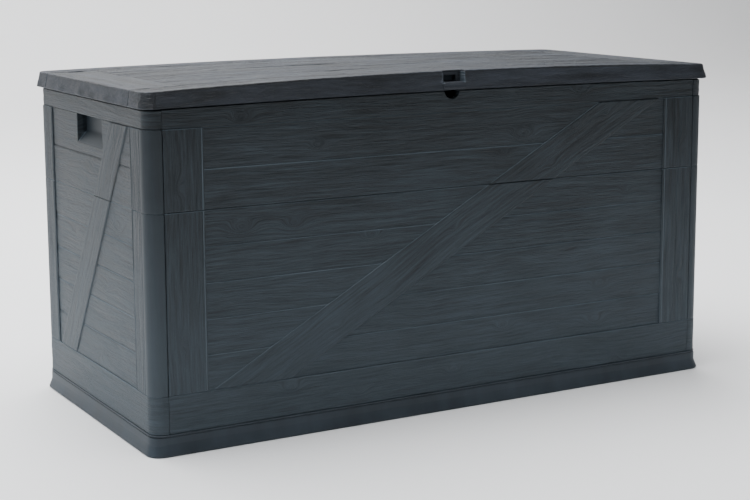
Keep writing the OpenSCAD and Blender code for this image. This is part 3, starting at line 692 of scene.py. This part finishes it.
def base_tray():
    """The tray's points and faces, in mm.

    Its rings run from under the deck round the skirt's foot, up the flare and a lip, and
    over the rim to the deck. Each is a half depth, a corner radius and a height, and is
    320 mm more in half width."""
    rings = [(246, 22, 34), (249, 22, 34), (272.5, 24, 33.2), (273, 24, 30), (273, 24, 4),
             (273.6, 25, 0.8), (275.2, 26, 0), (277, 27, 0.6), (278, 27, 2.2), (278, 27, 3.8),
             (277.2, 26.8, 6.5), (275, 26.4, 13), (272.8, 26, 22), (271.4, 25.6, 31),
             (271.4, 25.6, 34.6), (272.9, 26, 35.2), (273.2, 26, 36.6), (272.9, 25.9, 37.3),
             (271.9, 25.6, 37.7), (252.5, 22, 38), (251.8, 22, 38.4), (251.8, 22, 49.4),
             (251.2, 22, 50), (249.6, 22, 50), (249, 22, 49.4), (249, 22, 38.4), (248.4, 22, 38)]
    x_at, y_at = even(90), even(44)
    loops = [outline(half_y + 320, half_y, radius, 9, x_at, y_at) for half_y, radius, _ in rings]
    m = len(loops[0])
    xy = np.concatenate(loops)
    z = np.repeat([ring[-1] for ring in rings], m)
    sag = 0.25 * lattice(xy[:, 0] / 60, xy[:, 1] / 60, 5) * ((z > 5) & (z < 33))
    norm = xy / np.linalg.norm(xy, axis=1)[:, None]
    xy = xy + norm * sag[:, None]
    points = np.column_stack([xy, z])
    points = np.concatenate([points, [[0, 0, 34], [0, 0, 38]]])
    at = np.arange(m)
    after = np.roll(at, -1)
    faces = []
    for k in range(len(rings) - 1):
        here, above = k * m, (k + 1) * m
        faces += np.stack([here + at, here + after, above + after, above + at], axis=1).tolist()
    faces += np.stack([at, np.full(m, len(z)), after], axis=1).tolist()
    last = len(z) - m
    faces += np.stack([last + at, last + after, np.full(m, len(z) + 1)], axis=1).tolist()
    for k in range(1, 11):
        middle = -HALF_W + k * 2 * HALF_W / 11
        corners, sides = bar(len(points), (middle - RIB / 2, middle + RIB / 2), (-250, 250), (0.3, 36))
        points, faces = np.concatenate([points, corners]), faces + sides
    for k in range(1, 5):
        middle = -HALF_D + k * 2 * HALF_D / 5
        corners, sides = bar(len(points), (-570, 570), (middle - RIB / 2, middle + RIB / 2), (0.5, 35.5))
        points, faces = np.concatenate([points, corners]), faces + sides
    return points, faces


def smooth_look(name, dark, light, gloss, depth):
    """Plain moulded plastic: a faint mottle, upright run marks and a fine matt texture."""
    net = Net(name, Specular_IOR_Level=0.3)
    where = net.node("ShaderNodeTexCoord", {}, {})("Object")
    parts = net.node("ShaderNodeSeparateXYZ", {}, {"Vector": where})
    drawn = net.point(parts("X") * 26.0, parts("Y") * 26.0, parts("Z") * 3.0)
    run = net.noise(drawn, 1.0, 3.0, 0.55)
    cloud = net.noise(where, 9.0, 4.0, 0.6)
    speck = net.noise(where, 850.0, 2.0, 0.5)
    tone = (run - 0.5) * 0.8 + (cloud - 0.5) * 0.9 + 0.5
    colour = net.mix(tone.math("ADD", 0.0, clamp=True), paint(dark), paint(light))
    rough = gloss + (cloud - 0.5) * 0.2 + (speck - 0.5) * 0.1 + (run - 0.5) * 0.1
    return net.finish(colour, rough, speck * 0.4 + run * 0.6, depth, 0.6)


base_look = smooth_look("anthracite_base", "#1c2329", "#3a444d", 0.5, 0.0004)
points, faces = base_tray()
mesh = bpy.data.meshes.new("base")
mesh.from_pydata((points / 1000).tolist(), [], faces)
mesh.shade_smooth()
mesh.set_sharp_from_angle(angle=math.radians(50))
mesh.materials.append(base_look)
base = bpy.data.objects.new("base", mesh)
bpy.context.scene.collection.objects.link(base)
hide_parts("base_tray")
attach(base, "box")

# ---------------------------------------------------------------- lid
# One wide crowned moulding. Its top is grained as a frame of boards round long planks,
# and its skirt flares to the rim. The middle of its front is cut back for the lock, with a
# slot that a padlock's shackle goes through, and its rear rim makes room for the hinges.

LID_X, LID_Y, LID_OUT = 594.6, 274.6, 5.4
EDGE_Z, LID_T = 618.0, 3.5
CROWN_REAR, CROWN_FRONT, TOP_INSET = 5.0, 12.0, 22.0
FRAME_Y, FRAME_X = 211.0, 503.0
PLANKS = (-126.6, -42.2, 42.2, 126.6)
RECESS, RECESS_Y, LEDGE_Z, LOCK_SLOT, SLOT_Y = 23.0, -262.0, 609.0, 12.5, -250.0
HINGE_HALF, HINGE_GAP_Z = 41.0, 606.0
SLOT_ROWS = (0.18, 0.195, 0.558, 0.59)


def crown(x, y):
    """How far the lid's top rises over its edges, more at the front than at the rear."""
    rise = CROWN_FRONT + (CROWN_REAR - CROWN_FRONT) * (y + LID_Y) / (2 * LID_Y)
    return rise * np.clip(1 - (x / HALF_W) ** 2, 0, 1)


def lid_top(x, y):
    """The lid's upper face: its height, and the grain's run, flow and board."""
    framed = np.abs(y) > FRAME_Y
    end_board = ~framed & (np.abs(x) > FRAME_X)
    plank = np.searchsorted(np.array(PLANKS), y)
    board = np.where(framed, 210 + (y > 0), np.where(end_board, 220 + (x > 0), 200 + plank))
    along, across = np.where(end_board, y, x), np.where(end_board, x, y)
    knots = knots_for(77, -480, 480, (-FRAME_Y, *PLANKS, FRAME_Y), 1.0)
    flow = timber(along, across, board, knots)
    joint = lines(np.where(framed | (np.abs(x) > FRAME_X + 2), 1e3, y), PLANKS, 1.3, 2.6)
    joint = np.maximum(joint, lines(np.abs(y), (FRAME_Y,), 1.3, 2.4))
    joint = np.maximum(joint, lines(np.where(framed, 1e3, np.abs(x)), (FRAME_X,), 1.3, 2.4))
    rough = 1.0 * lattice(flow / 17, along / 170, board) + 1.1 * ridges(flow / 1.7, along, board)
    rough *= np.clip((LID_X - np.abs(x)) / 16, 0.1, 1) * np.clip((LID_Y - np.abs(y)) / 16, 0.1, 1)
    return EDGE_Z + crown(x, y) + rough - joint, along, flow, board


def lid_places(flat_x, flat_y, reach_x, reach_y):
    """Places along the lid's straight edges, from -1 to 1, close at each joint and cut."""
    cuts = [side * edge for side in (-1, 1) for edge in (RECESS, LOCK_SLOT)]
    cuts += [hinge + side * HINGE_HALF for hinge in HINGES_X for side in (-1, 1)]
    x_at = steps(-reach_x, reach_x, 11.5, [side * FRAME_X * reach_x / flat_x for side in (-1, 1)])
    for cut in cuts:
        x_at = x_at[np.abs(x_at - cut) > 1.5]
    x_at = np.sort(np.concatenate([x_at] + [[cut - 0.3, cut + 0.3] for cut in cuts])) / reach_x
    seam = np.arange(0.812, 0.945, 0.0048) * reach_y
    y_at = steps(-reach_y, reach_y, 5.2, [y * reach_y / flat_y for y in PLANKS])
    y_at = y_at[(np.abs(y_at) < seam[0] - 0.5) | (np.abs(y_at) > seam[-1] + 0.5)]
    return x_at, np.sort(np.concatenate([y_at, seam, -seam])) / reach_y


def lid():
    """The whole lid: a grid of its top, then rings out over its edge and down its skirt."""
    piece = Moulding()
    cells = 4
    reach_x, reach_y = LID_X + LID_OUT - CORNER_R, LID_Y + LID_OUT - CORNER_R
    wide, deep = LID_X - TOP_INSET, LID_Y - TOP_INSET
    flat_x, flat_y = wide - 20, deep - 16
    x_at, y_at = lid_places(flat_x, flat_y, reach_x, reach_y)

    def along_side(at, flat, far):
        """Places across the top that line up with those of its edge."""
        return np.concatenate([-np.linspace(far, flat, cells + 1)[:-1], at * flat,
                               np.linspace(flat, far, cells + 1)[1:]])

    X, Y = np.meshgrid(along_side(x_at, flat_x, wide), along_side(y_at, flat_y, deep))
    rows, cols = X.shape
    index = np.arange(rows * cols).reshape(rows, cols)
    rim = np.concatenate([index[0, cells:], index[1:, -1], index[-1, -2::-1], index[-2::-1, 0],
                          index[0, 1:cells]])
    faces = [grid_faces(index)]

    def ring(out):
        """The lid's outline, out mm wider than its top edge on each side."""
        return outline(LID_X + out, LID_Y + out, 22 + out * 0.45, 2 * cells, x_at, y_at)

    # which points of a ring belong to the recess, its slot and the hinges' gaps
    edge = ring(0)
    outward = outline(LID_X + 1, LID_Y + 1, 23, 2 * cells, x_at, y_at) - edge
    m = len(edge)
    rear_from = len(x_at) + len(y_at) + 2 * (2 * cells - 1)
    front_x, rear_x = np.full((2, m), 1e4)
    front_x[:len(x_at)] = x_at * reach_x
    rear_x[rear_from:rear_from + len(x_at)] = x_at[::-1] * reach_x
    recess, slot = np.abs(front_x) < RECESS, np.abs(front_x) < LOCK_SLOT
    # the recess's edges, where the skirt gets a painted highlight
    lip_edge = np.abs(np.abs(front_x) - RECESS) < 0.5
    hinge = np.any([np.abs(rear_x - middle) < HINGE_HALF for middle in HINGES_X], axis=0)
    run = np.concatenate([[0], np.cumsum(np.hypot(*np.diff(edge, axis=0).T))])
    top, along, flow, board = lid_top(X, Y)
    outer = [np.stack([X, Y, top], axis=-1).reshape(-1, 3)]
    inner = [np.stack([X, Y, EDGE_Z + crown(X, Y) - LID_T], axis=-1).reshape(-1, 3)]
    grain = [np.stack([along, flow, board * 1.0], axis=-1).reshape(-1, 3)]
    relief = [np.full(X.size, 0.4)]
    start = np.stack([X.reshape(-1)[rim], Y.reshape(-1)[rim]], axis=-1)
    before, count = rim, X.size
    at, after = np.arange(m), np.roll(np.arange(m), -1)

    def add(xy, z, in_xy, in_z, marks, depth):
        """Joins one more ring on, with its points inside and its grain."""
        nonlocal before, count
        now = count + at
        faces.append(np.stack([before[after], before, now, now[after]], axis=-1))
        outer.append(np.column_stack([xy, z]))
        inner.append(np.column_stack([in_xy, in_z]))
        grain.append(marks)
        relief.append(np.broadcast_to(depth, (m,)))
        before, count = now, count + m

    # out to the top edge and round it: share of the way, drop and mm inside the edge
    over_edge = ((0.35, 0, -4), (0.7, 0, -4), (1, 0, -4), (1, 0.12, -1.8), (1, 0.7, -0.5), (1, 1.8, 0.0))
    for share, drop, out in over_edge:
        xy = start + (ring(out) - start) * share
        if share < 1:
            xy[recess, 1] = start[recess, 1] + (RECESS_Y + 1.6 - start[recess, 1]) * share
        else:
            xy[recess, 1] = RECESS_Y - out * 0.4
        z, along, flow, board = lid_top(xy[:, 0], xy[:, 1])
        in_xy = xy - outward * LID_T * (share == 1)
        in_xy[recess, 1] = xy[recess, 1] + LID_T * (share == 1)
        in_z = EDGE_Z + crown(*xy.T) - LID_T - 0.3
        add(xy, z - drop, in_xy, in_z, np.column_stack([along, flow, board]), 0.4)
    # down the skirt, by share of its height; the last ring rounds the rim under
    top_z = EDGE_Z + crown(*edge.T) - 3.5
    rim_z = RIM_Z + RIM_RISE * np.clip(1 - (edge[:, 0] / HALF_W) ** 2, 0, 1) + 1.2
    end_z = np.where(hinge, HINGE_GAP_Z + 1, rim_z)
    top_ring, rim_ring = ring(0.4), ring(LID_OUT)
    side = np.abs(outward[:, 0]) > 0.7
    for share in (0, 0.06, 0.12, *SLOT_ROWS[:2], 0.26, 0.32, 0.38, 0.44, 0.5, *SLOT_ROWS[2:],
                  0.65, 0.71, 0.77, 0.83, 0.89, 0.95, 1.0, 1.06):
        z = top_z + (end_z - top_z) * min(share, 1.0)
        spread = np.clip((top_z - z) / (top_z - rim_z), 0, 1)
        xy = top_ring + (rim_ring - top_ring) * spread[:, None]
        seed = np.where(side & (np.abs(xy[:, 1]) < FRAME_Y), 232, 231)
        flow = timber(run, z, seed)
        swell = np.where(side, 2.0, 0.15) * lattice(xy[:, 1] / 26, spread * 1.3, 3)
        swell = swell * np.clip(spread * 1.6, 0, 1)
        push = 0.5 * ridges(flow, run, seed) + swell * (share < 1)
        push -= lines(np.where(side, np.abs(xy[:, 1]), 1e3), (FRAME_Y,), 2.2, 1.5)
        # relief of the grain, with painted highlights on the edges of the recess and on the side seams, and
        # painted light inside the slot in place of its shade
        corner = (np.abs(xy[:, 0]) > LID_X - 16) & (np.abs(xy[:, 1]) > LID_Y - 16)
        marks = np.where(corner, 0.14, np.where(side, 0.09, 0.12))
        marks[side & (np.abs(np.abs(xy[:, 1]) - FRAME_Y - 2.2) < 1.1)] = 1.9
        marks[recess] = 0.04
        marks[slot & (0.19 < share < 0.55)] = 1.7
        marks[lip_edge & (share < 0.7)] = 1.9
        push[recess] = 2.4 * math.sin(math.pi * np.clip((share - 0.6) / 0.44, 0, 1))
        xy = xy + outward * push[:, None]
        in_xy, in_z = xy - outward * LID_T, z - 0.2
        if share > 1:
            z = z - 1.2
            in_z, in_xy, xy = z, xy - outward * 2.2, xy - outward * 1.2
        # the recess is cut back to a flat face, with its slot and the ledge below it
        cut_in = recess & (share <= SLOT_ROWS[2])
        xy[cut_in, 1] = RECESS_Y
        if SLOT_ROWS[1] <= share <= SLOT_ROWS[2]:
            xy[slot, 1] = SLOT_Y
        if share == SLOT_ROWS[2]:
            z = np.where(recess, LEDGE_Z, z)
        if share == SLOT_ROWS[3]:
            z = np.where(recess, LEDGE_Z - 0.4, z)
        in_xy[cut_in, 1] = xy[cut_in, 1] + 3
        in_z = np.where(recess & (share in SLOT_ROWS[2:]), z - 3, in_z)
        add(xy, z, in_xy, in_z, np.column_stack([run, flow, seed]), marks)
    piece.shell(np.concatenate(outer), np.concatenate(inner), np.concatenate(faces), before,
                np.concatenate(grain), np.concatenate(relief))
    return piece


lid_look = timber_look("anthracite_lid", "#12161b", "#474e5a", 1.2, 0.56, 0.008, 2.2)
lid().make("lid_top", "lid", "lid_plastic", lid_look, ["lid_shell"])

# ---------------------------------------------------------------- floor, liner and hinges
# Plain sheets and brackets of the same plastic, smooth from the mould: the floor panel
# that drops into the tray, the panel that closes the lid from below and the hinge halves
# that are screwed to the rear wall and to the lid.

inner_look = smooth_look("anthracite_inner", "#1c2228", "#2f373f", 0.52, 0.0003)


def dress(material, *nodes):
    """Gives CAD nodes a finish of their own."""
    for node in nodes:
        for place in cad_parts[node].material_slots:
            place.link = "OBJECT"
            place.material = material


dress(inner_look, "floor_panel", "lid_liner", "hinge_bracket_left", "hinge_bracket_centre",
      "hinge_bracket_right", "lid_leaf_left", "lid_leaf_centre", "lid_leaf_right")

# ---------------------------------------------------------------- screws, pins and lock bar
# Turned and rolled steel with a dull zinc plating. These keep the shapes of their CAD
# nodes and get only their finish here.


def zinc_look():
    """Zinc plate with a soft cloud in its colour and its gloss."""
    net = Net("zinc_plate", Metallic=1.0)
    where = net.node("ShaderNodeTexCoord", {}, {})("Object")
    cloud = net.noise(where, 300.0, 3.0, 0.6)
    fine = net.noise(where, 2500.0, 2.0, 0.5)
    colour = net.mix(cloud, paint("#8f9497"), paint("#b9bdbf"))
    return net.finish(colour, 0.34 + (cloud - 0.5) * 0.3, fine, 0.00005, 0.5)


dress(zinc_look(), "base_screws", "corner_screws", "bracket_screws", "liner_screws", "leaf_screws",
      "lock_bar", "hinge_pin_left", "hinge_pin_centre", "hinge_pin_right")
